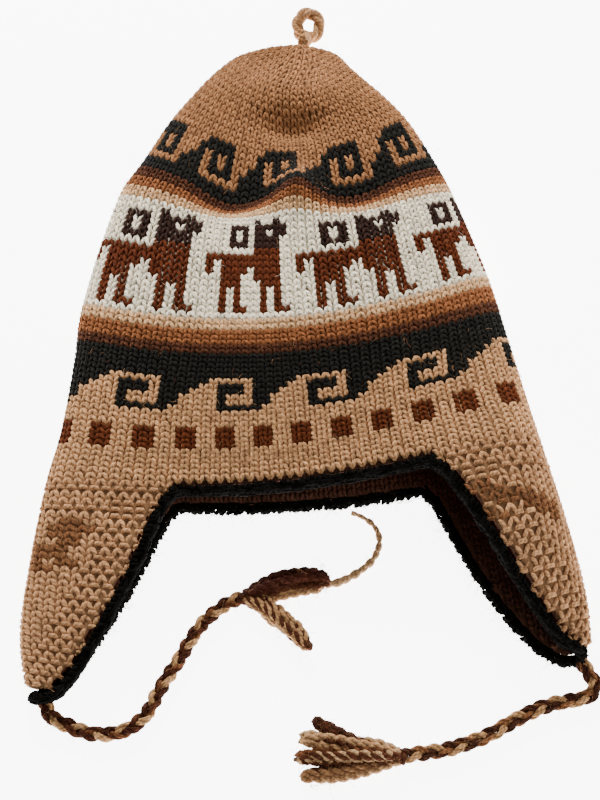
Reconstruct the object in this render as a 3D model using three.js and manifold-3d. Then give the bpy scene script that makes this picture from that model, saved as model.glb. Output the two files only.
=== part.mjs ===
// A knitted chullo hat lying on its back: crown, two ear flaps, lining, crocheted edging,
// a top loop, two braided ties with their tassels, and one loose yarn end.
// Millimetres. +X to the wearer's left, +Y from the brim to the top of the crown, +Z up.
import * as THREE from 'three';
import { mergeVertices } from 'three/addons/utils/BufferGeometryUtils.js';
import Module from 'manifold-3d';

const wasm = await Module();
wasm.setup();

// Driving sizes of the knitting.
const stitchesRound = 104;    // stitches in one round at the brim
const stitchWidth = 5;        // width of one stitch at the brim
const rowHeight = 3.2;        // height of one course, lying
const apexCourse = 82;        // courses from the brim to the closed top
const closingStart = 66;      // course where the top begins to round over
const outerWall = 3;          // thickness of the patterned outer knit
const liningWall = 2;         // thickness of the brown lining
const layerGap = 0.3;         // clearance between touching pieces
const lowestWall = outerWall + layerGap + liningWall;

// Section shape: how square the front and the flat-lying back are.
const frontPower = 2.4;
const backPower = 3.4;
const backDepth = 1.06;       // the back dips this much past the table and is pressed flat
const hemLift = 1;            // the hem rides on its edging, clear of the table
const hemFade = { start: 1, end: 6 };   // courses over which that lift dies out
const topReach = 0.7;         // topLeft and topRight stand this far from the middle to the fold
const topInsetStart = 60;     // course from which the walls also gain thickness from above
const sectionSteps = 48;      // points that measure half a section

// Middle of the hat's outline in the layout below, which the finished hat is centred on.
const middle = { x: 2.43, y: 57.5 };

// One row for each section across the lying hat. left and right are the side folds, fold is the
// height of each side fold, top is the height of the front layer at the left, middle and right,
// and bow is how far a course sags towards the brim in the middle.
const sectionColumns = ['course', 'leftX', 'leftY', 'rightX', 'rightY', 'leftFold', 'rightFold',
  'topLeft', 'topMid', 'topRight', 'bow'];
const sections = [
  [-38, -124, -165, 139, -145, 6.5, 7, 14, 15, 15, 22],
  [-34, -127, -153, 138, -133, 7, 8, 15, 17, 18, 22],
  [-24, -133, -123, 137, -104, 9, 12, 21, 27, 33, 20],
  [-12, -131, -85, 129, -67, 12, 18, 26, 33, 48, 17],
  [0, -126, -44, 119, -28, 15, 24, 29, 35, 52, 14],
  [8, -121, -18, 114, -2, 16, 24, 33, 41, 50, 21],
  [20, -117, 22, 107, 34, 18, 24, 40, 49, 51, 28.5],
  [31, -115, 56, 100, 70, 19, 23, 43, 52, 50, 34],
  [48, -100, 127, 84, 126, 19, 21, 42, 47, 46, 29.5],
  [55, -88, 151, 76, 148, 19, 20, 40, 43, 42, 33],
  [63, -71, 186, 59, 184, 18, 19, 36, 38, 38, 36],
  [72.5, -42, 227, 31, 220, 17, 18, 36, 42, 36, 38],
  [78, -20, 239, 20, 235, 16, 16, 30, 33, 30, 20],
  [82, 1, 243, 1, 243, 15, 15, 26, 26, 26, 0],
];

// Dents and folds of the front layer: place, spread across and along, lift and slide to the top.
const dentColumns = ['fraction', 'course', 'across', 'along', 'lift', 'slide'];
const dents = [
  [0.262, 53.5, 0.030, 5.0, 12, 2],
  [0.165, 53.0, 0.055, 5.5, -9, -7],
  [0.350, 52.5, 0.055, 5.0, -8, -3],
  [0.260, 67.0, 0.090, 2.8, -9, -1],
];

// Ear flaps: half the width at the top, length in courses, a flare into the brim, and how far
// the side fold lies from the flap's own middle at its top and at its tip, in stitches.
const flap = { halfWidth: 12, length: 32.4, taper: 0.6, flare: 1.5, flareReach: 1.5 };
const flapSides = {
  left: { fold: 0, shiftTop: -0.3, shiftTip: 0.3 },
  right: { fold: 0.5, shiftTop: 0, shiftTip: 0.9 },
};

// Crocheted edging round the whole hem.
const edging = { radius: 3.3, sides: 6, clearance: 1.2, depth: 3.2 };

// Top loop of twisted yarn.
const loop = {
  ringX: 7.2, ringY: 7.8, ringSteps: 18, cord: 3.4, tilt: 0.35, sideways: 4, beyondTop: 17, height: 13,
};

// Its stem: radius at the start, where it is full, and at the ring.
const stem = { start: 0.9, full: 3, fullAt: 0.6, end: 2.7 };

// Braided ties, tassels and the loose end, on the table.
const tie = { radius: 3.3, sides: 8, stepLength: 8 };
const yarn = { radius: 1.25, sides: 8, stepLength: 6 };

// How a lock of a tassel is thick along its length: slim at the tie, full, and slim at its end.
const lock = { steps: 7, start: 0.55, swell: 1.5, tipFrom: 0.9, tip: 0.55 };

const clamp = (value, low, high) => Math.min(high, Math.max(low, value));

// Rows of a table as objects with the column names.
const named = (columns, rows) => rows.map(
  (row) => Object.fromEntries(columns.map((name, i) => [name, row[i]])));
const sectionRows = named(sectionColumns, sections);
const dentRows = named(dentColumns, dents);

// A smooth curve through one column of the sections.
function sectionValue(name, course) {
  const rows = sectionRows;
  const last = rows.length - 1;
  const at = clamp(course, rows[0].course, rows[last].course);
  let k = 0;
  while (k < last - 1 && rows[k + 1].course <= at) k += 1;
  const slope = (i) => {
    const a = rows[Math.max(i - 1, 0)];
    const b = rows[Math.min(i + 1, last)];
    return (b[name] - a[name]) / (b.course - a.course);
  };
  const span = rows[k + 1].course - rows[k].course;
  const s = (at - rows[k].course) / span;
  const rise = s * s * (3 - 2 * s);
  return rows[k][name] * (1 - rise) + rows[k + 1][name] * rise
    + span * (slope(k) * s * (1 - s) ** 2 - slope(k + 1) * s * s * (1 - s));
}

// How much of the height is left at a course as the top rounds over.
function closing(course) {
  const past = clamp((course - closingStart) / (apexCourse - closingStart), 0, 1);
  return Math.sqrt(1 - past * past);
}

// A radius with a wall's thickness taken off, which still reaches zero at the closed top.
const shrink = (radius, inset) => (radius > 0 ? radius * radius / (radius + inset) : 0);

// One half section, front or back, as points with the length along them.
const sectionCache = new Map();
function halfSection(course, inset, isFront) {
  const key = `${course} ${inset} ${isFront}`;
  if (sectionCache.has(key)) return sectionCache.get(key);
  const q = {};
  for (const name of sectionColumns.slice(1)) q[name] = sectionValue(name, course);
  const half = new THREE.Vector2(q.rightX - q.leftX, q.rightY - q.leftY).multiplyScalar(0.5);
  const narrow = half.length() > 0 ? shrink(half.length(), inset) / half.length() : 0;
  const centre = new THREE.Vector2(q.leftX + q.rightX, q.leftY + q.rightY).multiplyScalar(0.5);
  const close = closing(course);
  const floor = hemLift * clamp((hemFade.end - course) / (hemFade.end - hemFade.start), 0, 1) + inset;
  const topShift = -inset * clamp((course - topInsetStart) / (apexCourse - topInsetStart), 0, 1);
  const power = 2 / (isFront ? frontPower : backPower);
  const points = [];
  for (let i = 0; i <= sectionSteps; i += 1) {
    const angle = Math.PI * (i / sectionSteps);
    const along = (isFront ? -1 : 1) * Math.sign(Math.cos(angle)) * Math.abs(Math.cos(angle)) ** power;
    const out = Math.abs(Math.sin(angle)) ** power;
    const fold = q.leftFold + (q.rightFold - q.leftFold) * (along + 1) / 2;
    let z;
    if (isFront) {
      const v = along / topReach;
      const top = q.topMid + (q.topRight - q.topLeft) / 2 * v
        + ((q.topRight + q.topLeft) / 2 - q.topMid) * v * v;
      z = fold + shrink(Math.max(top - fold, 1) * close, inset) * out;
    } else {
      z = Math.max(fold - shrink(fold * backDepth * close, inset) * out, Math.min(floor, fold));
    }
    points.push(new THREE.Vector3(
      centre.x + half.x * along * narrow,
      centre.y + half.y * along * narrow - q.bow * narrow * (1 - along * along) + topShift,
      z,
    ));
  }
  const lengths = [0];
  for (let i = 1; i < points.length; i += 1) {
    lengths.push(lengths[i - 1] + points[i].distanceTo(points[i - 1]));
  }
  const result = { points, lengths };
  sectionCache.set(key, result);
  return result;
}

// The point of the knitting at a fraction of the round and a course, below the surface by inset.
// The fraction runs from the left fold over the front to the right fold at 0.5, and on round the back.
function surface(fraction, course, inset) {
  const round = fraction - Math.floor(fraction);
  const isFront = round <= 0.5;
  const { points, lengths } = halfSection(course, inset, isFront);
  const target = (isFront ? round * 2 : round * 2 - 1) * lengths[lengths.length - 1];
  let k = 0;
  while (k < lengths.length - 2 && lengths[k + 1] < target) k += 1;
  const step = lengths[k + 1] - lengths[k];
  const point = points[k].clone().lerp(points[k + 1], step > 0 ? (target - lengths[k]) / step : 0);
  if (isFront) {
    const fade = Math.sin(Math.PI * round * 2) * closing(course);
    for (const dent of dentRows) {
      const weight = fade * Math.exp(-(((round - dent.fraction) / dent.across) ** 2)
        - ((course - dent.course) / dent.along) ** 2);
      point.z += dent.lift * weight;
      point.y += dent.slide * weight;
    }
  }
  return point;
}

// Half the width of an ear flap at a course, in stitches.
function flapHalf(course) {
  return flap.halfWidth * Math.max(1 + course / flap.length, 0) ** flap.taper
    + flap.flare * Math.exp(course / flap.flareReach);
}

// The fraction of a flap's middle line at a course.
function flapMiddle(side, course) {
  const down = clamp(-course / flap.length, 0, 1);
  return side.fold + (side.shiftTop + (side.shiftTip - side.shiftTop) * down) / stitchesRound;
}

// Columns across a flap, from -1 to 1, closer together at the side fold.
const flapSteps = 6;
const flapSpread = 1.3;
const flapColumns = [];
for (let i = -flapSteps; i <= flapSteps; i += 1) {
  flapColumns.push(Math.sign(i) * (Math.abs(i) / flapSteps) ** flapSpread);
}
const brimSteps = 8;
const flapRows = [-flap.length, -31.8, -30, -27, -23, -17.5, -12, -6.5, -3, -1.2];
const crownRows = [0, 4, 10, 17, 24, 31, 38, 44, 48, 51, 54, 57, 60.5, 64, 67, 70, 74, 78, 80.7, 82];

function flapFractions(side, course) {
  return flapColumns.map((at) => flapMiddle(side, course) + at * flapHalf(course) / stitchesRound);
}

// Fractions round the crown: across both flaps, and over the brim between them.
function crownFractions() {
  const left = flapFractions(flapSides.left, 0);
  const right = flapFractions(flapSides.right, 0);
  const between = (from, to) => Array.from({ length: brimSteps - 1 },
    (_, i) => from + (to - from) * (i + 1) / brimSteps);
  return [
    ...left,
    ...between(left[left.length - 1], right[0]),
    ...right,
    ...between(right[right.length - 1], left[0] + 1),
  ];
}

// Triangles of a wall between an outer and an inner grid of points. open says which of the
// four borders are closed with a rim.
function wallTriangles(outer, inner, closedRound, rims) {
  const triangles = [];
  const quad = (a, b, c, d) => triangles.push([a, b, c], [a, c, d]);
  const rows = outer.length;
  const columns = outer[0].length;
  const columnSteps = closedRound ? columns : columns - 1;
  for (let j = 0; j < rows - 1; j += 1) {
    for (let i = 0; i < columnSteps; i += 1) {
      const n = (i + 1) % columns;
      quad(outer[j][i], outer[j][n], outer[j + 1][n], outer[j + 1][i]);
      quad(inner[j][i], inner[j + 1][i], inner[j + 1][n], inner[j][n]);
    }
    if (!closedRound) {
      const e = columns - 1;
      quad(outer[j][e], inner[j][e], inner[j + 1][e], outer[j + 1][e]);
      quad(outer[j][0], outer[j + 1][0], inner[j + 1][0], inner[j][0]);
    }
  }
  for (let i = 0; i < columnSteps; i += 1) {
    const n = (i + 1) % columns;
    const t = rows - 1;
    if (rims.bottom(i)) quad(outer[0][i], inner[0][i], inner[0][n], outer[0][n]);
    if (rims.top) quad(outer[t][i], outer[t][n], inner[t][n], inner[t][i]);
  }
  return triangles;
}

// A closed geometry from triangles, with equal corners shared and flat ones dropped.
function solidGeometry(triangles) {
  const whole = triangles.filter(([a, b, c]) => a.distanceTo(b) > 1e-4
    && b.distanceTo(c) > 1e-4 && c.distanceTo(a) > 1e-4);
  const geometry = new THREE.BufferGeometry();
  geometry.setAttribute('position', new THREE.Float32BufferAttribute(
    whole.flatMap((corners) => corners.flatMap((p) => [p.x, p.y, p.z])), 3));
  const shared = mergeVertices(geometry, 1e-4);
  shared.computeVertexNormals();
  return shared;
}

function grid(rows, fractionsAt, inset) {
  return rows.map((course) => fractionsAt(course).map((fraction) => surface(fraction, course, inset)));
}

// The patterned outer knit of the crown, open at the brim.
function crownGeometry() {
  const fractions = crownFractions();
  const at = () => fractions;
  return solidGeometry(wallTriangles(grid(crownRows, at, 0), grid(crownRows, at, outerWall),
    true, { bottom: () => true, top: false }));
}

// The outer knit of one ear flap, folded round the side of the hat.
function flapGeometry(side) {
  const topRow = -layerGap / rowHeight;
  const rows = [...flapRows, topRow];
  const at = (course) => flapFractions(side, course);
  return solidGeometry(wallTriangles(grid(rows, at, 0), grid(rows, at, outerWall),
    false, { bottom: () => true, top: true }));
}

// The brown lining, one piece from the closed top to both flap tips.
function liningGeometry() {
  const fractions = crownFractions();
  const outside = outerWall + layerGap;
  const at = () => fractions;
  const flapCount = flapColumns.length - 1;
  const rightStart = flapCount + brimSteps;
  const overFlap = (i) => i < flapCount || (i >= rightStart && i < rightStart + flapCount);
  const triangles = wallTriangles(grid(crownRows, at, outside), grid(crownRows, at, lowestWall),
    true, { bottom: (i) => !overFlap(i), top: false });
  for (const side of Object.values(flapSides)) {
    const rows = [...flapRows, 0];
    const across = (course) => flapFractions(side, course);
    triangles.push(...wallTriangles(grid(rows, across, outside), grid(rows, across, lowestWall),
      false, { bottom: () => true, top: false }));
  }
  return solidGeometry(triangles);
}

// A point of the hem laid out flat: along the round and up the courses, in millimetres.
const flatHem = (fraction, course) => new THREE.Vector2(
  fraction * stitchesRound * stitchWidth, course * rowHeight);

// The hem laid out flat as a closed line, down one edge of each flap and up the other.
function hemLine() {
  const edge = (side, sign, rows) => rows.map((course) => flatHem(
    flapMiddle(side, course) + sign * flapHalf(course) / stitchesRound, course));
  const down = [...flapRows].reverse();
  const brim = (from, to) => Array.from({ length: brimSteps - 1 }, (_, i) => flatHem(
    from + (to - from) * (i + 1) / brimSteps, 0));
  const { left, right } = flapSides;
  const half = flapHalf(0) / stitchesRound;
  const leftEnd = flapMiddle(left, 0) + half;
  const rightStart = flapMiddle(right, 0) - half;
  const rightEnd = flapMiddle(right, 0) + half;
  const leftStart = flapMiddle(left, 0) - half + 1;
  const tipRow = -flap.length;
  const rising = flapRows.filter((course) => course > tipRow);
  const falling = down.filter((course) => course > tipRow);
  return [
    flatHem(leftEnd, 0),
    ...brim(leftEnd, rightStart),
    flatHem(rightStart, 0),
    ...edge(right, -1, falling),
    flatHem(flapMiddle(right, tipRow), tipRow),
    ...edge(right, 1, rising),
    flatHem(rightEnd, 0),
    ...brim(rightEnd, leftStart),
    flatHem(leftStart, 0),
    ...edge({ ...left, fold: left.fold + 1 }, -1, falling),
    flatHem(flapMiddle(left, tipRow) + 1, tipRow),
    ...edge({ ...left, fold: left.fold + 1 }, 1, rising),
  ];
}

// The hem moved outwards by a distance, as points about half way through both layers.
function hemPath(distance) {
  const flat = hemLine();
  const lengthRound = stitchesRound * stitchWidth;
  return flat.map((point, i) => {
    const before = flat[(i + flat.length - 1) % flat.length].clone();
    const after = flat[(i + 1) % flat.length].clone();
    if (i === 0) before.x -= lengthRound;
    if (i === flat.length - 1) after.x += lengthRound;
    const tangent = after.sub(before).normalize();
    const moved = point.clone().add(new THREE.Vector2(tangent.y, -tangent.x).multiplyScalar(distance));
    return surface(moved.x / lengthRound, moved.y / rowHeight, edging.depth);
  });
}

// A round tube whose rings stand square to a line of points.
function ringTube(points, radii, sides, closed) {
  const rings = points.map((point, i) => {
    const count = points.length;
    const before = closed ? points[(i + count - 1) % count] : points[Math.max(i - 1, 0)];
    const after = closed ? points[(i + 1) % count] : points[Math.min(i + 1, count - 1)];
    const along = after.clone().sub(before).normalize();
    const across = new THREE.Vector3(0, 0, 1).cross(along).normalize();
    const over = along.clone().cross(across);
    return Array.from({ length: sides }, (_, k) => {
      const angle = 2 * Math.PI * (k + 0.5) / sides;
      return point.clone()
        .addScaledVector(across, Math.cos(angle) * radii[i])
        .addScaledVector(over, Math.sin(angle) * radii[i]);
    });
  });
  const triangles = [];
  const links = closed ? rings.length : rings.length - 1;
  for (let j = 0; j < links; j += 1) {
    const a = rings[j];
    const b = rings[(j + 1) % rings.length];
    for (let k = 0; k < sides; k += 1) {
      const n = (k + 1) % sides;
      triangles.push([a[k], a[n], b[n]], [a[k], b[n], b[k]]);
    }
  }
  if (!closed) {
    const first = rings[0];
    const end = rings[rings.length - 1];
    for (let k = 1; k < sides - 1; k += 1) {
      triangles.push([first[0], first[k + 1], first[k]], [end[0], end[k], end[k + 1]]);
    }
  }
  return solidGeometry(triangles);
}

function edgingGeometry() {
  const path = hemPath(edging.radius + edging.clearance);
  const fine = new THREE.CatmullRomCurve3(path, true, 'centripetal').getPoints(path.length * 2).slice(0, -1);
  for (const point of fine) point.z = Math.max(point.z, edging.radius);
  return ringTube(fine, fine.map(() => edging.radius), edging.sides, true);
}

// A closed mesh as a solid for joining, and back.
function toSolid(geometry) {
  const bare = new THREE.BufferGeometry();
  bare.setAttribute('position', geometry.getAttribute('position'));
  if (geometry.index) bare.setIndex(geometry.index);
  const shared = mergeVertices(bare, 1e-4);
  return new wasm.Manifold(new wasm.Mesh({
    numProp: 3,
    vertProperties: new Float32Array(shared.getAttribute('position').array),
    triVerts: new Uint32Array(shared.index.array),
  }));
}

function joined(geometries) {
  const solid = geometries.map(toSolid).reduce((whole, part) => whole.add(part));
  const mesh = solid.getMesh();
  const geometry = new THREE.BufferGeometry();
  geometry.setAttribute('position', new THREE.BufferAttribute(new Float32Array(mesh.vertProperties), 3));
  geometry.setIndex(new THREE.BufferAttribute(new Uint32Array(mesh.triVerts), 1));
  geometry.computeVertexNormals();
  return geometry;
}

// The loop at the top: a ring of twisted yarn on a short stem that starts at the closed top.
function loopGeometry() {
  const top = surface(0, apexCourse, 0);
  const centre = new THREE.Vector3(top.x + loop.sideways, top.y + loop.beyondTop, loop.height);
  const ring = Array.from({ length: loop.ringSteps }, (_, i) => {
    const angle = 2 * Math.PI * i / loop.ringSteps;
    const y = Math.sin(angle) * loop.ringY;
    return centre.clone().add(new THREE.Vector3(
      Math.cos(angle) * loop.ringX, y * Math.cos(loop.tilt), y * Math.sin(loop.tilt)));
  });
  const stemStart = top.clone().add(new THREE.Vector3(0, 2 * layerGap, 0));
  const stemEnd = centre.clone().add(new THREE.Vector3(
    0, -loop.ringY * Math.cos(loop.tilt), -loop.ringY * Math.sin(loop.tilt)));
  return joined([
    ringTube(ring, ring.map(() => loop.cord), tie.sides, true),
    ringTube([stemStart, stemStart.clone().lerp(stemEnd, stem.fullAt), stemEnd],
      [stem.start, stem.full, stem.end], tie.sides, false),
  ]);
}

// A cord along a route: an extruded round section.
function cordGeometry(route, radius, sides, stepLength) {
  const curve = new THREE.CatmullRomCurve3(route.map((p) => new THREE.Vector3(...p)), false, 'centripetal');
  const section = new THREE.Shape(Array.from({ length: sides }, (_, k) => {
    const angle = 2 * Math.PI * (k + 0.5) / sides;
    return new THREE.Vector2(Math.cos(angle) * radius, Math.sin(angle) * radius);
  }));
  return new THREE.ExtrudeGeometry(section, {
    steps: Math.ceil(curve.getLength() / stepLength),
    extrudePath: curve,
  });
}

// Routes of the free cords, from the hat outwards.
const routes = {
  left: [
    [-118, -155.6, 5], [-116.8, -158.8, 4.2], [-113, -162, 3.7], [-107, -164.5, 3.5], [-99.5, -167.5, 3.5],
    [-91, -168.5, 3.5], [-83.5, -167.5, 3.5], [-77, -164.5, 3.5], [-71.5, -159, 3.5], [-67.5, -151, 3.5],
    [-63.5, -143, 3.5], [-58, -134, 3.5], [-53, -124.5, 3.5], [-47.5, -115.5, 3.5], [-40.5, -108.5, 3.5],
    [-33.5, -103.5, 3.5], [-26.5, -101.5, 3.5],
  ],
  right: [
    [134.2, -136.6, 5.2], [136.4, -140.4, 4.4], [138.4, -144.8, 3.8], [137.4, -148.6, 3.5], [133.6, -151, 3.5],
    [127.5, -152.4, 3.5], [120.5, -153.6, 3.5], [113.5, -155.5, 3.5], [106.5, -158.5, 3.5], [99.5, -162, 3.5],
    [92.5, -166, 3.5], [84.5, -170, 3.5], [76, -173, 3.5], [67.5, -175.5, 3.5], [57.5, -177, 3.5],
    [50.5, -178, 3.5], [44.5, -179, 3.5],
  ],
  loose: [
    [25.8, -55.5, 1.3], [30.5, -57.4, 1.3], [35.5, -61, 1.3], [38.5, -65.5, 1.3], [39.5, -71, 1.3],
    [38, -77, 1.3], [35, -82, 1.3], [30.5, -86, 1.3], [25.5, -89.5, 1.3], [19.5, -92.5, 1.3],
    [15.5, -93.5, 1.3],
  ],
};

// Locks of looped yarn in each tassel, from the tie's end: two or three bundles that fan out.
const locks = {
  left: [
    { path: [[-24.3, -101.4, 3.6], [-16.5, -98.5, 6.5], [-5.5, -94.5, 6.5], [4.5, -93, 6], [12.5, -92.5, 5]], radius: 4.2 },
    { path: [[-24.3, -101.4, 3.6], [-15.5, -101.5, 4], [-4.5, -100, 4], [4.5, -99, 3.6], [11, -98.5, 3.4]], radius: 3.2 },
    { path: [[-24.3, -101.4, 3.6], [-18.5, -106, 4], [-10.5, -112.5, 4.4], [-1.5, -119.5, 4.8], [4.5, -129, 4.4]], radius: 4.4 },
  ],
  right: [
    { path: [[43, -179.1, 3.6], [32.5, -175.5, 5], [20, -169.5, 4.6], [7, -162, 3.6]], radius: 3.4 },
    { path: [[43, -179.1, 3.6], [31.5, -176, 6.5], [16.5, -173, 6.5], [1.5, -171, 4.6]], radius: 4 },
    { path: [[43, -179.1, 3.6], [31.5, -179.5, 6.5], [16, -179.5, 6], [-0.5, -179.5, 4.4]], radius: 4.2 },
    { path: [[43, -179.1, 3.6], [32.5, -183, 5], [18, -186.5, 4.6], [1.5, -188, 4]], radius: 3.8 },
  ],
};

function tasselGeometry(side) {
  return joined(locks[side].map(({ path, radius }) => {
    const curve = new THREE.CatmullRomCurve3(path.map((p) => new THREE.Vector3(...p)), false, 'centripetal');
    const points = curve.getSpacedPoints(lock.steps);
    const radii = points.map((point, i) => {
      const along = i / lock.steps;
      const full = Math.min(1, lock.start + lock.swell * along) * (along > lock.tipFrom ? lock.tip : 1);
      return Math.min(radius * full, point.z);
    });
    return ringTube(points, radii, tie.sides, false);
  }));
}

function knit(name, geometry, color) {
  const mesh = new THREE.Mesh(geometry, new THREE.MeshStandardMaterial({ color, roughness: 0.95, metalness: 0 }));
  mesh.name = name;
  return mesh;
}

const hat = new THREE.Group();
hat.add(
  knit('crown', crownGeometry(), 0x9c7755),
  knit('ear_flap_left', flapGeometry(flapSides.left), 0x936947),
  knit('ear_flap_right', flapGeometry(flapSides.right), 0x936947),
  knit('lining', liningGeometry(), 0x34251b),
  knit('edging', edgingGeometry(), 0x0c0d09),
  knit('top_loop', loopGeometry(), 0xa57b5b),
  knit('tie_cord_left', cordGeometry(routes.left, tie.radius, tie.sides, tie.stepLength), 0x6b452c),
  knit('tie_cord_right', cordGeometry(routes.right, tie.radius, tie.sides, tie.stepLength), 0x6b452c),
  knit('tassel_left', tasselGeometry('left'), 0x5a3624),
  knit('tassel_right', tasselGeometry('right'), 0x7a5539),
  knit('loose_yarn', cordGeometry(routes.loose, yarn.radius, yarn.sides, yarn.stepLength), 0xb08a63),
);
hat.position.set(-middle.x, -middle.y, 0);

export default hat;
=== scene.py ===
import math

import bmesh
import bpy
import numpy as np
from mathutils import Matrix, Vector


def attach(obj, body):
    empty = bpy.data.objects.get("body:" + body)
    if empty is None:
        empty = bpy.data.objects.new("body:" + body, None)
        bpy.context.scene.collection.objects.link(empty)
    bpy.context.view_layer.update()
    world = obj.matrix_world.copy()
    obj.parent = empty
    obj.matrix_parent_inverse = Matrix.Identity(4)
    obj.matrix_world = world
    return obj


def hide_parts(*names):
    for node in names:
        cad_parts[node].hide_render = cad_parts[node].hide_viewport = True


# A knitted chullo hat on its back. Lengths are millimetres in the layout of the part's source,
# until a mesh is made: then they are moved to the middle of the hat and turned into metres.
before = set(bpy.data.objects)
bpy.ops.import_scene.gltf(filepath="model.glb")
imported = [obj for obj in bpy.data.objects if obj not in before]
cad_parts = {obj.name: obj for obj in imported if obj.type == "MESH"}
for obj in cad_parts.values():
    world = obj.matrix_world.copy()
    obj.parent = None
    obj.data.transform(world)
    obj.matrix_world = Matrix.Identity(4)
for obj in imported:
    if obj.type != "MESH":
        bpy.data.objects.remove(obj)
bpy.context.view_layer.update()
metre = 0.001
middle = np.array([2.43, 57.5, 0.0])
chance = np.random.default_rng(7)


def toFrame(points):
    return (np.asarray(points, float) - middle) * metre


def unit(vectors):
    return vectors / (np.linalg.norm(vectors, axis=-1, keepdims=True) + 1e-12)


# The length so far at each point of a line, and the line's points at given lengths.
def lengthsAlong(line):
    return np.concatenate([[0], np.cumsum(np.linalg.norm(np.diff(line, axis=0), axis=1))])


def pointsAt(line, lengths, at):
    return np.stack([np.interp(at, lengths, line[:, i]) for i in range(3)], axis=-1)


# Camera, as the photograph was taken: from the brim's side, well above the ground.
view = {"elevation": 61.0, "distance": 750.0, "aim": (0.0, 10.0, 0.0), "lens": 64.35, "sensor": 36.0}


def makeCamera():
    data = bpy.data.cameras.new("camera")
    data.lens = view["lens"]
    data.sensor_width = view["sensor"]
    data.clip_start = 0.05
    data.clip_end = 20.0
    camera = bpy.data.objects.new("camera", data)
    bpy.context.scene.collection.objects.link(camera)
    tilt = math.radians(view["elevation"])
    back = Vector((0.0, -math.cos(tilt), math.sin(tilt)))
    camera.location = Vector(toFrame(view["aim"])) + back * view["distance"] * metre
    camera.rotation_mode = "QUATERNION"
    camera.rotation_quaternion = (-back).to_track_quat("-Z", "Y")
    bpy.context.scene.camera = camera


makeCamera()
print("camera")


# Colours and shader nodes
def linear(code):
    parts = [int(code[i:i + 2], 16) / 255 for i in (0, 2, 4)]
    return tuple(c / 12.92 if c <= 0.04045 else ((c + 0.055) / 1.055) ** 2.4 for c in parts)


yarnColours = {
    "T": linear("c9976a"),   # tan of the lower crown
    "A": linear("9e6d47"),   # tan of the top
    "F": linear("bf8e64"),   # tan of the ear flaps
    "K": linear("1e1c18"),   # black
    "S": linear("5e2e17"),   # brown of the squares
    "L": linear("d8ab7d"),   # light tan stripe
    "R": linear("8c5634"),   # rust stripe
    "D": linear("502f1f"),   # dark brown stripe
    "W": linear("fceed3"),   # cream ground of the llamas
    "M": linear("5a2a14"),   # llama
    "H": linear("33201a"),   # llama's head and the ring over its back
    "Z": linear("7c5234"),   # zigzag on the flaps
}


# One shader node with its settings, fixed inputs and links.
def addNode(tree, kind, inputs=None, links=None, **settings):
    node = tree.nodes.new(kind)
    for name, value in settings.items():
        setattr(node, name, value)
    for key, value in (inputs or {}).items():
        node.inputs[key].default_value = value
    for key, source in (links or {}).items():
        tree.links.new(source, node.inputs[key])
    return node


# Patterns of wool: its plies wind round once in plyPitch millimetres and stand out by relief, and
# blotches and streaks are counted to a millimetre. A real fibre is about 0.03 thick, so its streaks
# are drawn some ten times as coarse, or they wouldn't show.
woolPattern = {"plies": 2.0, "plyPitch": 4.2, "blotches": 0.26, "streaks": 2.6, "relief": 0.5,
               "fibreShare": 0.35, "bump": 0.8, "roughness": 0.95, "sheenRoughness": 0.6}


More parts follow.
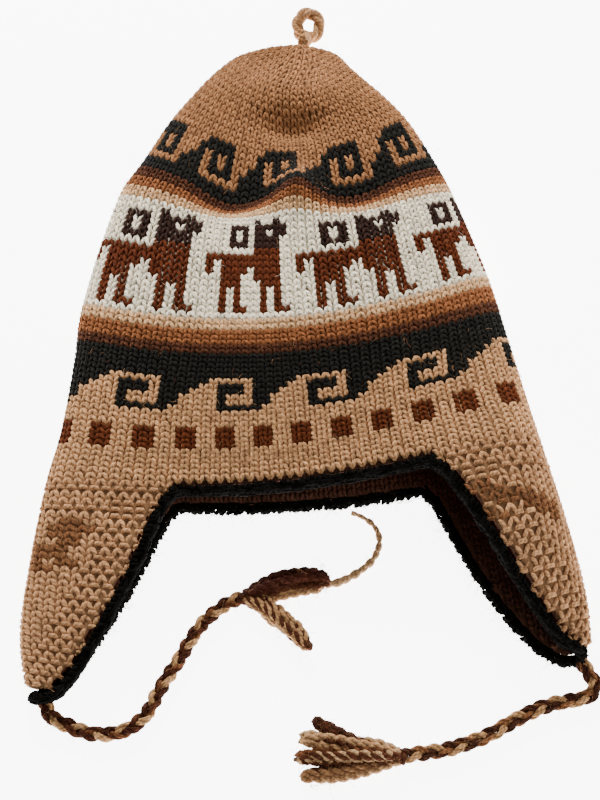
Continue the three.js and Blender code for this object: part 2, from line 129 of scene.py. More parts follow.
# Plied wool, spun and twisted: quite matt, with a soft bloom of fibres. Its colour comes with the
# mesh, and is darkened as painted shade in the grooves between its plies.
def woolMaterial(name, mottle=0.2, paintedGrooveShade=0.35, sheen=0.3, shine=0.08):
    material = bpy.data.materials.new(name)
    material.use_nodes = True
    tree = material.node_tree
    tree.nodes.clear()
    colour = addNode(tree, "ShaderNodeAttribute", attribute_name="yarn").outputs["Color"]
    lay = addNode(tree, "ShaderNodeAttribute", attribute_name="lay").outputs["Vector"]
    split = addNode(tree, "ShaderNodeSeparateXYZ", links={0: lay}).outputs
    place = addNode(tree, "ShaderNodeTexCoord").outputs["Object"]
    # grooves between the plies wind round each strand; they give the bump, and the colour is darkened
    # in them as painted shade
    around = addNode(tree, "ShaderNodeMath", operation="ARCTAN2", links={0: split[1], 1: split[0]})
    turns = addNode(tree, "ShaderNodeMath", {1: woolPattern["plies"]}, {0: around.outputs[0]},
                    operation="MULTIPLY")
    windings = 2 * math.pi / woolPattern["plyPitch"] * woolPattern["plies"]
    wind = addNode(tree, "ShaderNodeMath", {1: windings}, {0: split[2]}, operation="MULTIPLY")
    phase = addNode(tree, "ShaderNodeMath", links={0: turns.outputs[0], 1: wind.outputs[0]},
                    operation="ADD")
    wave = addNode(tree, "ShaderNodeMath", links={0: phase.outputs[0]}, operation="SINE")
    plyReliefAndShade = addNode(tree, "ShaderNodeMapRange", {1: -1.0, 2: 1.0, 3: 1.0 - paintedGrooveShade, 4: 1.0},
                  {0: wave.outputs[0]})
    # heathered wool: blotches of a few millimetres and streaks as fine as fibres
    blotch = addNode(tree, "ShaderNodeTexNoise",
                     {"Scale": woolPattern["blotches"] / metre, "Detail": 3.0}, {"Vector": place})
    fibre = addNode(tree, "ShaderNodeTexNoise",
                    {"Scale": woolPattern["streaks"] / metre, "Detail": 2.0}, {"Vector": place})
    shade = addNode(tree, "ShaderNodeMapRange", {1: 0.3, 2: 0.7, 3: 1.0 - mottle, 4: 1.0 + mottle},
                    {0: blotch.outputs[0]})
    streak = addNode(tree, "ShaderNodeMapRange", {1: 0.3, 2: 0.7, 3: 1.0 - mottle, 4: 1.0 + mottle},
                     {0: fibre.outputs[0]})
    tone = addNode(tree, "ShaderNodeMath", links={0: shade.outputs[0], 1: streak.outputs[0]},
                   operation="MULTIPLY")
    # heathered tone, times the painted shade in the grooves between the plies
    depth = addNode(tree, "ShaderNodeMath", links={0: tone.outputs[0], 1: plyReliefAndShade.outputs[0]},
                    operation="MULTIPLY")
    tinted = addNode(tree, "ShaderNodeVectorMath", links={0: colour, 3: depth.outputs[0]},
                     operation="SCALE")
    relief = addNode(tree, "ShaderNodeMath", {1: woolPattern["fibreShare"]},
                     {0: fibre.outputs[0], 2: plyReliefAndShade.outputs[0]}, operation="MULTIPLY_ADD")
    bump = addNode(tree, "ShaderNodeBump",
                   {"Strength": woolPattern["bump"], "Distance": woolPattern["relief"] * metre},
                   {"Height": relief.outputs[0]})
    shader = addNode(tree, "ShaderNodeBsdfPrincipled",
                     {"Roughness": woolPattern["roughness"], "Specular IOR Level": shine,
                      "Sheen Weight": sheen, "Sheen Roughness": woolPattern["sheenRoughness"]},
                     {"Base Color": tinted.outputs[0], "Sheen Tint": tinted.outputs[0],
                      "Normal": bump.outputs[0]})
    addNode(tree, "ShaderNodeOutputMaterial", links={"Surface": shader.outputs[0]})
    return material


wool = woolMaterial("plied wool")
darkWool = woolMaterial("black wool", mottle=0.5, sheen=0.05, shine=0.02)
print("materials")


# Each tube starts somewhere else in the winding of its plies, up to this many millimetres on.
windingStart = 4.0


# Tubes of yarn: paths holds a line of ring centres for each tube, ups the way its top faces.
# None of them goes below the table.
def tubes(paths, ups, across, high, sides, colours):
    above = np.maximum(paths[..., 2], np.maximum(across, high))
    paths = np.concatenate([paths[..., :2], above[..., None]], axis=-1)
    tangent = unit(np.gradient(paths, axis=1))
    side = unit(np.cross(ups, tangent))
    over = np.cross(tangent, side)
    count, rings = paths.shape[:2]
    angle = 2 * math.pi * (np.arange(sides) + 0.5) / sides
    cos, sin = np.cos(angle), np.sin(angle)
    points = (paths[:, :, None] + side[:, :, None] * (across[:, :, None] * cos)[..., None]
              + over[:, :, None] * (high[:, :, None] * sin)[..., None])
    steps = np.linalg.norm(np.diff(paths, axis=1), axis=2)
    along = np.concatenate([np.zeros((count, 1)), np.cumsum(steps, axis=1)], axis=1)
    along += chance.uniform(0, windingStart, (count, 1))
    lay = np.stack(np.broadcast_arrays(cos, sin, along[:, :, None]), axis=-1)
    shape = (count, rings, sides, 3)
    tint = np.broadcast_to(np.asarray(colours).reshape(count, -1, 1, 3), shape)
    index = np.arange(count * rings * sides).reshape(count, rings, sides)
    turned = np.roll(index, -1, axis=2)
    quads = np.stack([index[:, :-1], turned[:, :-1], turned[:, 1:], index[:, 1:]], axis=-1)
    caps = np.concatenate([index[:, 0, ::-1], index[:, -1]])
    return {"points": points.reshape(-1, 3), "faces": [quads.reshape(-1, 4), caps],
            "tint": tint.reshape(-1, 3), "lay": lay.reshape(-1, 3)}


# One object from several such parts, shaded smooth, with its colours and the lay of its yarn.
def makeObject(name, parts, material, replaced=()):
    points = toFrame(np.concatenate([part["points"] for part in parts]))
    corners, sizes = [], []
    first = 0
    for part in parts:
        for faces in part["faces"]:
            corners.append((faces + first).ravel())
            sizes.append(np.full(len(faces), faces.shape[1]))
        first += len(part["points"])
    corners, sizes = np.concatenate(corners), np.concatenate(sizes)
    mesh = bpy.data.meshes.new(name)
    mesh.vertices.add(len(points))
    mesh.vertices.foreach_set("co", points.ravel())
    mesh.loops.add(len(corners))
    mesh.loops.foreach_set("vertex_index", corners.astype(np.int32))
    mesh.polygons.add(len(sizes))
    starts = np.concatenate([[0], np.cumsum(sizes)[:-1]])
    mesh.polygons.foreach_set("loop_start", starts.astype(np.int32))
    mesh.polygons.foreach_set("loop_total", sizes.astype(np.int32))
    mesh.update(calc_edges=True)
    tint = np.concatenate([part["tint"] for part in parts])
    tint = np.concatenate([tint, np.ones((len(tint), 1))], axis=1)
    mesh.attributes.new("yarn", "FLOAT_COLOR", "POINT").data.foreach_set("color", tint.ravel())
    lay = np.concatenate([part["lay"] for part in parts])
    mesh.attributes.new("lay", "FLOAT_VECTOR", "POINT").data.foreach_set("vector", lay.ravel())
    mesh.shade_smooth()
    mesh.materials.append(material)
    made = bpy.data.objects.new(name, mesh)
    bpy.context.scene.collection.objects.link(made)
    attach(made, "root")
    if replaced:
        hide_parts(*replaced)
    return made


# A smooth line through a route's points, with points a step apart along it.
def smoothPath(route, step, closed=False):
    p = np.array(route, float)
    if closed:
        extended = np.vstack([p[-1], p, p[0], p[1]])
    else:
        extended = np.vstack([2 * p[0] - p[1], p, 2 * p[-1] - p[-2]])
    t = np.linspace(0, 1, 12, endpoint=False)[:, None]
    pieces = []
    for a, b, c, d in zip(extended, extended[1:], extended[2:], extended[3:]):
        bend = t * (2 * a - 5 * b + 4 * c - d + t * (3 * b - a - 3 * c + d))
        pieces.append(b + 0.5 * t * (c - a + bend))
    line = np.vstack(pieces + [extended[-2][None]])
    along = lengthsAlong(line)
    return pointsAt(line, along, np.linspace(0, along[-1], max(2, int(round(along[-1] / step)) + 1)))


# The ways to the side of a line and over it, square to it at each point, and the length so far.
def pathFrame(path):
    tangent = unit(np.gradient(path, axis=0))
    side = unit(np.cross([0.0, 0.0, 1.0], tangent))
    return side, np.cross(tangent, side), lengthsAlong(path)


def offsetPath(path, sideways, upwards):
    side, over, _ = pathFrame(path)
    return path + side * np.asarray(sideways)[:, None] + over * np.asarray(upwards)[:, None]


# Plies twisted round a line, as tubes. ways are those to the line's side and over it, if its own
# won't do.
def twisted(path, plies, centre, radius, pitch, colours, sides=5, taper=None, start=0.0, ways=None):
    side, over, along = pathFrame(path)
    if ways is not None:
        side, over = ways
    full = np.ones(len(path)) if taper is None else taper
    lines = []
    for k in range(plies):
        angle = 2 * math.pi * (along / pitch + k / plies) + start
        lines.append(path + (side * np.cos(angle)[:, None] + over * np.sin(angle)[:, None])
                     * (centre * full)[:, None])
    lines = np.array(lines)
    ups = np.broadcast_to(over, lines.shape)
    radii = np.broadcast_to(radius * full, lines.shape[:2])
    tints = np.array([colours[k % len(colours)] for k in range(plies)])
    return tubes(lines, ups, radii, radii, sides, tints)


# Routes of the free cords, as in the part's source, with a little more at the ends that are held.
routes = {
    "left": [
        (-119, -151.8, 5.6), (-118, -155.6, 5), (-116.8, -158.8, 4.2), (-113, -162, 3.7),
        (-107, -164.5, 3.5), (-99.5, -167.5, 3.5), (-91, -168.5, 3.5), (-83.5, -167.5, 3.5),
        (-77, -164.5, 3.5), (-71.5, -159, 3.5), (-67.5, -151, 3.5), (-63.5, -143, 3.5),
        (-58, -134, 3.5), (-53, -124.5, 3.5), (-47.5, -115.5, 3.5), (-40.5, -108.5, 3.5),
        (-33.5, -103.5, 3.5), (-26.5, -101.5, 3.5)],
    "right": [
        (132.4, -133.4, 5.8), (134.2, -136.6, 5.2), (136.4, -140.4, 4.4), (138.4, -144.8, 3.8),
        (137.4, -148.6, 3.5), (133.6, -151, 3.5), (127.5, -152.4, 3.5), (120.5, -153.6, 3.5),
        (113.5, -155.5, 3.5), (106.5, -158.5, 3.5), (99.5, -162, 3.5), (92.5, -166, 3.5),
        (84.5, -170, 3.5), (76, -173, 3.5), (67.5, -175.5, 3.5), (57.5, -177, 3.5),
        (50.5, -178, 3.5), (44.5, -179, 3.5)],
    "loose": [
        (25.8, -55.5, 1.3), (30.5, -57.4, 1.3), (35.5, -61, 1.3), (38.5, -65.5, 1.3),
        (39.5, -71, 1.3), (38, -77, 1.3), (35, -82, 1.3), (30.5, -86, 1.3),
        (25.5, -89.5, 1.3), (19.5, -92.5, 1.3), (15.5, -93.5, 1.3), (12.8, -93.4, 1.5)],
}

# Three-strand braids of the ties. Each strand holds yarns twisted round each other.
braid = {"pitch": 21.0, "wide": 2.1, "deep": 1.15, "strand": 0.85, "yarns": 3, "yarnRadius": 0.95,
         "strandPitch": 17.0, "step": 1.0, "diameter": 6.6}
tieColours = {
    "left": (("b0855a",), ("3f2013",), ("4a2818", "6b4128")),
    "right": (("b0855a",), ("3f2316",), ("7d5233", "44261a")),
}


def makeTie(side):
    path = smoothPath(routes[side], braid["step"])
    _, _, along = pathFrame(path)
    parts = []
    for k, codes in enumerate(tieColours[side]):
        turn = 2 * math.pi * (along / braid["pitch"] + k / 3)
        strand = offsetPath(path, braid["wide"] * np.sin(turn), braid["deep"] * np.sin(2 * turn))
        parts.append(twisted(strand, braid["yarns"], braid["strand"], braid["yarnRadius"],
                             braid["strandPitch"], [linear(code) for code in codes]))
    return makeObject(f"braid_{side}", parts, wool, [f"tie_cord_{side}"]), path


# Tassels: loops of thick two-ply yarn that fan out from the end of each tie, in a few locks.
# fan is how far from the middle of its lock a loop stands at each of its marks, and shorter is how
# much of its length the shortest loop lacks.
loopYarn = {"radius": 1.25, "centre": 0.95, "pitch": 10.5, "step": 1.5, "flat": 0.75, "tip": 2.4,
            "shorter": 0.14, "marks": (0.0, 0.25, 0.5, 0.75, 0.96), "fan": (0.6, 0.85, 0.85, 0.8, 0.6),
            "spineStep": 2.0}
# yarn wound round the head of each tassel, where the braid ends
headYarn = {"turns": 3, "rings": 54, "length": 5.0, "before": 3.0, "wind": 2.3, "radius": 1.0,
            "code": "4a2818"}
locks = {
    "left": [
        {"path": ((-26, -101.4, 3.6), (-17.5, -97.5, 6.0), (-6.5, -93, 6.4), (3.5, -91, 6.4),
                  (13.0, -90.8, 5.8)),
         "radius": 5.2, "codes": ("3f1e12", "46241a", "3a1c10", "4b2617", "3f1e12", "46241a", "4b2617")},
        {"path": ((-26, -101.4, 3.6), (-15.5, -100.5, 4), (-4.5, -97.5, 4), (4.5, -96, 3.8),
                  (12, -95.5, 3.6)),
         "radius": 3.0, "codes": ("4a2818", "a98059", "b0855a")},
        {"path": ((-26, -101.4, 3.6), (-19.5, -105, 4.2), (-11.5, -111.5, 4.8), (-3, -119, 5.2),
                  (3, -127, 4.8)),
         "radius": 5.4, "codes": ("a98059", "3f1e12", "b0855a", "4a2818", "b0855a", "3f1e12")}],
    "right": [
        {"path": ((45, -179.1, 3.6), (32.5, -175.5, 5), (20, -169.5, 4.6), (7, -162, 3.6)),
         "radius": 3.0, "codes": ("3f2316", "4a2818", "44261a")},
        {"path": ((45, -179.1, 3.6), (31.5, -176, 6.3), (16.5, -173, 6.3), (1.5, -171, 4.4)),
         "radius": 4.6, "codes": ("b8926a", "a98059", "4a2818", "b0855a", "a98059")},
        {"path": ((45, -179.1, 3.6), (31.5, -179.5, 6.3), (16, -179.5, 5.8), (-0.5, -179.5, 4.2)),
         "radius": 5.0, "codes": ("b8926a", "4a2818", "b8926a", "6b4128", "a98059")},
        {"path": ((45, -179.1, 3.6), (32.5, -183, 5), (18, -186.5, 4.6), (1.5, -188, 3.8)),
         "radius": 4.4, "codes": ("b0855a", "3f2316", "a98059", "8a6342")}],
}


# One loop: out along its lock, round at the tip and back, never through the table.
def loopLine(spine, radius, number):
    reach = 1.0 - loopYarn["shorter"] * (number % 3) / 2 + chance.uniform(-0.03, 0.03)
    marks = np.array(loopYarn["marks"])
    out = chance.uniform(0, 2 * math.pi)
    turns = (out, out + chance.uniform(1.0, 2.2))
    lines = []
    for angle in turns:
        at = marks * reach * (len(spine) - 1)
        centre = pointsAt(spine, np.arange(len(spine)), at)
        wander = angle + chance.uniform(-0.5, 0.5, len(marks))
        spread = radius * np.array(loopYarn["fan"]) * chance.uniform(0.35, 1.0)
        lines.append(offsetPath(centre, spread * np.cos(wander),
                                spread * np.sin(wander) * loopYarn["flat"]))
    tip = (lines[0][-1] + lines[1][-1]) / 2 + unit(lines[0][-1] - lines[0][-2]) * loopYarn["tip"]
    line = smoothPath(np.vstack([lines[0], tip, lines[1][::-1]]), loopYarn["step"])
    line[:, 2] = np.maximum(line[:, 2], loopYarn["radius"] + loopYarn["centre"])
    return line


def headWinding(side):
    head, following = np.array(locks[side][0]["path"][:2], float)
    onward = unit((following - head) * [1, 1, 0])
    aside = np.cross([0, 0, 1], onward)
    turn = np.linspace(0, 2 * math.pi * headYarn["turns"], headYarn["rings"])
    along = turn / turn[-1] * headYarn["length"] - headYarn["before"]
    wound = (head + np.outer(along, onward) + np.outer(headYarn["wind"] * np.cos(turn), aside)
             + np.outer(headYarn["wind"] * np.sin(turn), [0, 0, 1]))
    radii = np.full((1, len(turn)), headYarn["radius"])
    return tubes(wound[None], np.broadcast_to(onward, (1, len(turn), 3)), radii, radii, 6,
                 np.array([linear(headYarn["code"])]))


def makeTassel(side):
    parts = []
    for lock in locks[side]:
        spine = smoothPath(lock["path"], loopYarn["spineStep"])
        for number, code in enumerate(lock["codes"]):
            line = loopLine(spine, lock["radius"], number)
            parts.append(twisted(line, 2, loopYarn["centre"], loopYarn["radius"], loopYarn["pitch"],
                                 [linear(code)], start=chance.uniform(0, 6)))
    parts.append(headWinding(side))
    return makeObject(f"yarn_loops_{side}", parts, wool, [f"tassel_{side}"])


# The loose end: one soft yarn of two plies that thins to its end.
looseYarn = {"radius": 1.6, "centre": 0.9, "pitch": 10.0, "step": 1.2, "thin": 0.5, "uneven": 0.12,
             "unevenTurn": 0.9, "diameter": 2.5, "code": "b99169"}


def makeLooseYarn():
    path = smoothPath(routes["loose"], looseYarn["step"])
    taper = np.linspace(looseYarn["thin"], 1.0, len(path))
    taper *= 1 + looseYarn["uneven"] * np.sin(np.arange(len(path)) * looseYarn["unevenTurn"])
    part = twisted(path, 2, looseYarn["centre"], looseYarn["radius"], looseYarn["pitch"],
                   [linear(looseYarn["code"])], sides=7, taper=taper)
    return makeObject("loose_end", [part], wool, ["loose_yarn"]), path


for side in ("left", "right"):
    tie, tiePath = makeTie(side)
    tassel = makeTassel(side)
looseEnd, loosePath = makeLooseYarn()
print("cords")


# Shape of the hat, as in the part's source: sections across it at courses of the knitting.
knitting = {"stitchesRound": 104, "stitchWidth": 5.0, "rowHeight": 3.2, "apexCourse": 82.0,
            "closingStart": 66.0, "frontPower": 2.4, "backPower": 3.4, "backDepth": 1.06,
            "hemLift": 1.0, "hemStart": 1.0, "hemEnd": 6.0, "topReach": 0.7, "topInsetStart": 60.0,
            "outerWall": 3.0, "liningWall": 2.0, "layerGap": 0.3, "sectionSteps": 96}
# course, leftX, leftY, rightX, rightY, leftFold, rightFold, topLeft, topMid, topRight, bow
sections = np.array([
    (-38, -124, -165, 139, -145, 6.5, 7, 14, 15, 15, 22),
    (-34, -127, -153, 138, -133, 7, 8, 15, 17, 18, 22),
    (-24, -133, -123, 137, -104, 9, 12, 21, 27, 33, 20),
    (-12, -131, -85, 129, -67, 12, 18, 26, 33, 48, 17),
    (0, -126, -44, 119, -28, 15, 24, 29, 35, 52, 14),
    (8, -121, -18, 114, -2, 16, 24, 33, 41, 50, 21),
    (20, -117, 22, 107, 34, 18, 24, 40, 49, 51, 28.5),
    (31, -115, 56, 100, 70, 19, 23, 43, 52, 50, 34),
    (48, -100, 127, 84, 126, 19, 21, 42, 47, 46, 29.5),
    (55, -88, 151, 76, 148, 19, 20, 40, 43, 42, 33),
    (63, -71, 186, 59, 184, 18, 19, 36, 38, 38, 36),
    (72.5, -42, 227, 31, 220, 17, 18, 36, 42, 36, 38),
    (78, -20, 239, 20, 235, 16, 16, 30, 33, 30, 20),
    (82, 1, 243, 1, 243, 15, 15, 26, 26, 26, 0)], float)
# dents of the front: fraction, course, spread across and along, lift, slide to the top
dents = ((0.262, 53.5, 0.030, 5.0, 12, 2), (0.165, 53.0, 0.055, 5.5, -9, -7),
         (0.350, 52.5, 0.055, 5.0, -8, -3), (0.260, 67.0, 0.090, 2.8, -9, -1))


# A smooth curve through a table's columns, whose first column is where each row stands.
def curveThrough(table, at):
    x = table[:, 0]
    slope = np.gradient(table, axis=0)
    slope[1:-1] = (table[2:] - table[:-2]) / (x[2:] - x[:-2])[:, None]
    slope[0] = (table[1] - table[0]) / (x[1] - x[0])
    slope[-1] = (table[-1] - table[-2]) / (x[-1] - x[-2])
    at = np.clip(np.asarray(at, float), x[0], x[-1])
    k = np.clip(np.searchsorted(x, at, side="right") - 1, 0, len(x) - 2)
    span = (x[k + 1] - x[k])[..., None]
    s = (at - x[k])[..., None] / span
    rise = s * s * (3 - 2 * s)
    return (table[k] * (1 - rise) + table[k + 1] * rise
            + span * (slope[k] * s * (1 - s) ** 2 - slope[k + 1] * s * s * (1 - s)))


def closing(course):
    past = np.clip((course - knitting["closingStart"])
                   / (knitting["apexCourse"] - knitting["closingStart"]), 0, 1)
    return np.sqrt(1 - past * past)


def shrink(radius, inset):
    return radius * radius / np.maximum(radius + inset, 1e-9)


# Half a section, front or back, as points evenly spaced along it.
def halfSection(course, inset, isFront, count):
    _, leftX, leftY, rightX, rightY, leftFold, rightFold, topLeft, topMid, topRight, bow = \
        curveThrough(sections, course)
    halfX, halfY = (rightX - leftX) / 2, (rightY - leftY) / 2
    halfWidth = math.hypot(halfX, halfY)
    narrow = shrink(halfWidth, inset) / max(halfWidth, 1e-9)
    close = closing(course)
    fade = np.clip((knitting["hemEnd"] - course) / (knitting["hemEnd"] - knitting["hemStart"]), 0, 1)
    floor = knitting["hemLift"] * fade + inset
    start = knitting["topInsetStart"]
    topShift = -inset * np.clip((course - start) / (knitting["apexCourse"] - start), 0, 1)
    power = 2 / (knitting["frontPower"] if isFront else knitting["backPower"])
    angle = np.linspace(0, math.pi, knitting["sectionSteps"] + 1)
    along = (-1 if isFront else 1) * np.sign(np.cos(angle)) * np.abs(np.cos(angle)) ** power
    out = np.abs(np.sin(angle)) ** power
    fold = leftFold + (rightFold - leftFold) * (along + 1) / 2
    if isFront:
        v = along / knitting["topReach"]
        top = topMid + (topRight - topLeft) / 2 * v + ((topRight + topLeft) / 2 - topMid) * v * v
        z = fold + shrink(np.maximum(top - fold, 1) * close, inset) * out
    else:
        z = np.maximum(fold - shrink(fold * knitting["backDepth"] * close, inset) * out,
                       np.minimum(floor, fold))
    x = (leftX + rightX) / 2 + halfX * along * narrow
    y = (leftY + rightY) / 2 + halfY * along * narrow - bow * narrow * (1 - along ** 2) + topShift
    line = np.stack([x, y, z], axis=1)
    lengths = lengthsAlong(line)
    return pointsAt(line, lengths, np.linspace(0, lengths[-1], count))


# Points of the hat on a grid: a row for each course, and evenly round it from the left fold over
# the front to the right fold and back under it. The last column is the first one again.
def hatGrid(courses, columns, inset):
    half = columns // 2
    fraction = np.arange(half + 1) / columns
    rows = []
    for course in courses:
        front = halfSection(course, inset, True, half + 1)
        back = halfSection(course, inset, False, half + 1)
        fade = np.sin(2 * math.pi * fraction) * closing(course)
        for place, at, across, reach, lift, slide in dents:
            weight = fade * np.exp(-((fraction - place) / across) ** 2 - ((course - at) / reach) ** 2)
            front[:, 2] += lift * weight
            front[:, 1] += slide * weight
        rows.append(np.concatenate([front, back[1:]]))
    return np.array(rows)


roundColumns = 416


# Points of one round at an inset from the outside, at fractions of the round.
def roundPoints(course, inset, fraction):
    whole = hatGrid([course], roundColumns, inset)[0]
    return pointsAt(whole, np.arange(roundColumns + 1), np.mod(fraction, 1.0) * roundColumns)


# The outside on a grid fine enough to place stitches on.
fine = {"courseStep": 0.25, "columns": 832, "lowest": -34.0}
fineCourses = np.arange(fine["lowest"], knitting["apexCourse"] + 0.01, fine["courseStep"])
finePoints = hatGrid(fineCourses, fine["columns"], 0.0)
finePoints[:, -1] = finePoints[:, 0]


def fineNormals():
    wrapped = np.concatenate([finePoints[:, -2:-1], finePoints, finePoints[:, 1:2]], axis=1)
    onward = wrapped[:, 2:] - wrapped[:, :-2]
    normal = np.cross(onward, np.gradient(finePoints, axis=0))
    length = np.linalg.norm(normal, axis=2, keepdims=True)
    return np.where(length > 1e-9, normal / np.maximum(length, 1e-9), [0.0, 1.0, 0.0])


fineOut = fineNormals()


# The place on the outside of the knitting and the way out of it.
def onHat(fraction, course):
    fraction, course = np.broadcast_arrays(fraction, course)
    u = np.mod(fraction, 1.0) * fine["columns"]
    v = np.clip((course - fine["lowest"]) / fine["courseStep"], 0, len(fineCourses) - 1.001)
    i, j = u.astype(int) % fine["columns"], v.astype(int)
    a, b = (u - np.floor(u))[..., None], (v - j)[..., None]

    def blend(values):
        low = values[j, i] * (1 - a) + values[j, i + 1] * a
        high = values[j + 1, i] * (1 - a) + values[j + 1, i + 1] * a
        return low * (1 - b) + high * b

    return blend(finePoints), unit(blend(fineOut))


roundLengths = np.linalg.norm(np.diff(finePoints, axis=1), axis=2).sum(axis=1)

# Where the wales stand. Those of the front lie wider or closer, as the photograph shows: a row is a
# wale and its place in 104ths of the round, near the brim and at the llamas.
brimWales = np.array([
    (-27, -26.0), (-13, -12.4), (0, -0.3), (13, 14.4), (26, 27.1), (39, 40.6), (48.5, 52.0), (63, 65.5),
    (77, 78.6), (91, 91.6), (104, 103.7), (117, 118.4), (130, 131.1)], float)
llamaWales = np.array([
    (-27, -26.0), (-13, -12.4), (0, 0.4), (13, 16.4), (26, 27.0), (39, 41.8), (48.5, 52.0), (63, 65.5),
    (77, 78.6), (91, 91.6), (104, 104.4), (117, 120.4), (130, 131.0)], float)
rounds = {"brimCourse": 8.0, "llamaCourse": 36.0, "upperStart": 54, "upperStitches": 80,
          "decreaseStart": 63, "topStitchWidth": 4.2, "upperRepeat": 8}


# Stitches in a row: one count to the black band, a smaller one up to the top's first decrease, and
# then whole repeats of the upper motif that keep the stitches' width.
def stitchesInRow(row):
    if row < rounds["upperStart"]:
        return knitting["stitchesRound"]
    if row < rounds["decreaseStart"]:
        return rounds["upperStitches"]
    length = np.interp(row + 0.5, fineCourses, roundLengths)
    repeat = rounds["upperRepeat"]
    repeats = round(length / rounds["topStitchWidth"] / repeat)
    return int(repeat * max(1, min(rounds["upperStitches"] // repeat, repeats)))


# The fraction of the round at a place among a row's stitches.
def fractionAt(place, course, row):
    if row >= rounds["upperStart"]:
        return place / stitchesInRow(row)
    low, high = rounds["brimCourse"], rounds["llamaCourse"]
    mix = np.clip((course - low) / (high - low), 0, 1)
    mix = mix * mix * (3 - 2 * mix)
    atBrim = curveThrough(brimWales, place)[..., 1]
    atLlama = curveThrough(llamaWales, place)[..., 1]
    return (atBrim * (1 - mix) + atLlama * mix) / knitting["stitchesRound"]


# Pattern, row by row from the brim. Each motif is charted from its top row down.
lowerHook = (
    "KKKKTTTTTK",
    "KKKTTKKKTK",
    "KKTTTKKKTK",
    "KTTTTKTTTK",
    "KTTTTKTTTK",
    "TTTTTKKKKK")
upperHook = (
    "AKKKKAAA",
    "KKKKKAAA",
    "KAKAKAAA",
    "KAKAKAAK",
    "KAKKKAKK",
    "KAAAAAKK")
llama = (
    ".......H..H..",
    "...HHH.HHHHH.",
    "...H.H.HH.HH.",
    "...H.H.HHHH..",
    "...HHH.HHHH..",
    ".......MMMM..",
    "MMMMMMMMMMM..",
    "M.MMMMMMMMM..",
    "M.MMMM.MMMM..",
    "..MMM..MMMM..",
    "..MMM...MMM..",
    "..M.M...M.M..",
    "..M.M...M.M..",
    "..M.M...M.M..",
    "..M.MM..M.MM.")
squares = ("SSTT",) * 4
bands = (  # first row, motif or colour, first wale of the motif
    (0, "T", 0), (6, squares, 0), (10, "T", 0), (13, lowerHook, 1), (19, "K", 0), (24, "D", 0),
    (26, "R", 0), (29, "L", 0), (31, "W", 0), (32, llama, 0), (47, "W", 0), (48, "L", 0), (50, "R", 0),
    (52, "D", 0), (54, "K", 0), (56, upperHook, 0), (62, "A", 0), (82, "A", 0))
seamWale = 76


# The colour letters of one row of the crown.
def rowLetters(row):
    count = stitchesInRow(row)
    wales = np.arange(count)
    if count == knitting["stitchesRound"]:
        wales = np.where(wales < seamWale, wales, wales - count)
    for (first, motif, start), following in zip(bands, bands[1:]):
        if first <= row < following[0]:
            if isinstance(motif, str):
                return [motif] * count
            chart = motif[len(motif) - 1 - (row - first)]
            return [chart[(w - start) % len(chart)].replace(".", "W") for w in wales]
    return ["A"] * count


# A stitch is two legs of yarn that lean apart from its foot. Places are in stitches and rows, and
# depth is how far below the outside the middle of the yarn lies.
leg = {"across": (0.05, 0.19, 0.34, 0.45), "up": (-0.40, 0.12, 0.66, 1.08),
       "depth": (1.75, 0.95, 0.70, 1.55), "thick": (0.55, 0.95, 1.0, 0.6),
       "width": 0.235, "height": 0.95, "sides": 5}
backLeg = dict(leg, sides=4)
purl = dict(leg, across=(-0.44, -0.20, 0.20, 0.44), up=(0.20, 0.60, 0.60, 0.20),
            depth=(2.1, 0.55, 0.55, 2.1), thick=(0.55, 1.0, 1.0, 0.55))
liningLeg = {"across": (0.07, 0.27, 0.44), "up": (-0.35, 0.40, 1.0), "depth": (5.1, 6.0, 5.3),
             "thick": (0.6, 1.0, 0.6), "width": 0.25, "height": 0.95, "sides": 4}
# hand knitting is uneven in place, in thickness and in shade
uneven = {"place": 0.03, "thick": (0.92, 1.08), "shade": (0.8, 1.15)}


# Legs or purl bumps for one row: places of its stitches, their colours, and how far they sink.
def rowOfStitches(row, places, colours, form, signs=(-1, 1), sink=0.0):
    across, up = np.array(form["across"]), np.array(form["up"])
    depth, thick = np.array(form["depth"]), np.array(form["thick"])
    count = stitchesInRow(row)
    parts = []
    for sign in signs:
        jitter = chance.normal(0, uneven["place"], (len(places), 1))
        course = row + up[None, :] + jitter
        place = places[:, None] + sign * across[None, :] + jitter
        point, out = onHat(fractionAt(place, course, row), course)
        width = np.interp(row + 0.5, fineCourses, roundLengths) / count
        swell = chance.uniform(*uneven["thick"], (len(places), 1))
        wide = form["width"] * width * thick * swell
        tall = form["height"] * thick * swell
        shade = chance.uniform(*uneven["shade"], (len(places), 1))
        line = point - out * (depth + np.reshape(sink, (-1, 1)))[..., None]
        parts.append(tubes(line, out, wide, tall, form["sides"], colours * shade))
    return parts


# pieces of the crown, each with its first row and the row after its last
crownPieces = (("brim_and_hooks", 0, 24), ("llamas", 24, 48), ("upper_hooks", 48, 66), ("top", 66, 82))


def makeCrownKnit():
    for name, first, last in crownPieces:
        parts = []
        for row in range(first, last):
            letters = rowLetters(row)
            places = np.arange(len(letters)) + 0.5
            colours = np.array([yarnColours[letter] for letter in letters])
            front = places < len(letters) / 2
            parts += rowOfStitches(row, places[front], colours[front], leg)
            parts += rowOfStitches(row, places[~front], colours[~front], backLeg)
        replaced = ["crown"] if name == "brim_and_hooks" else []
        makeObject(f"knit_{name}", parts, wool, replaced)


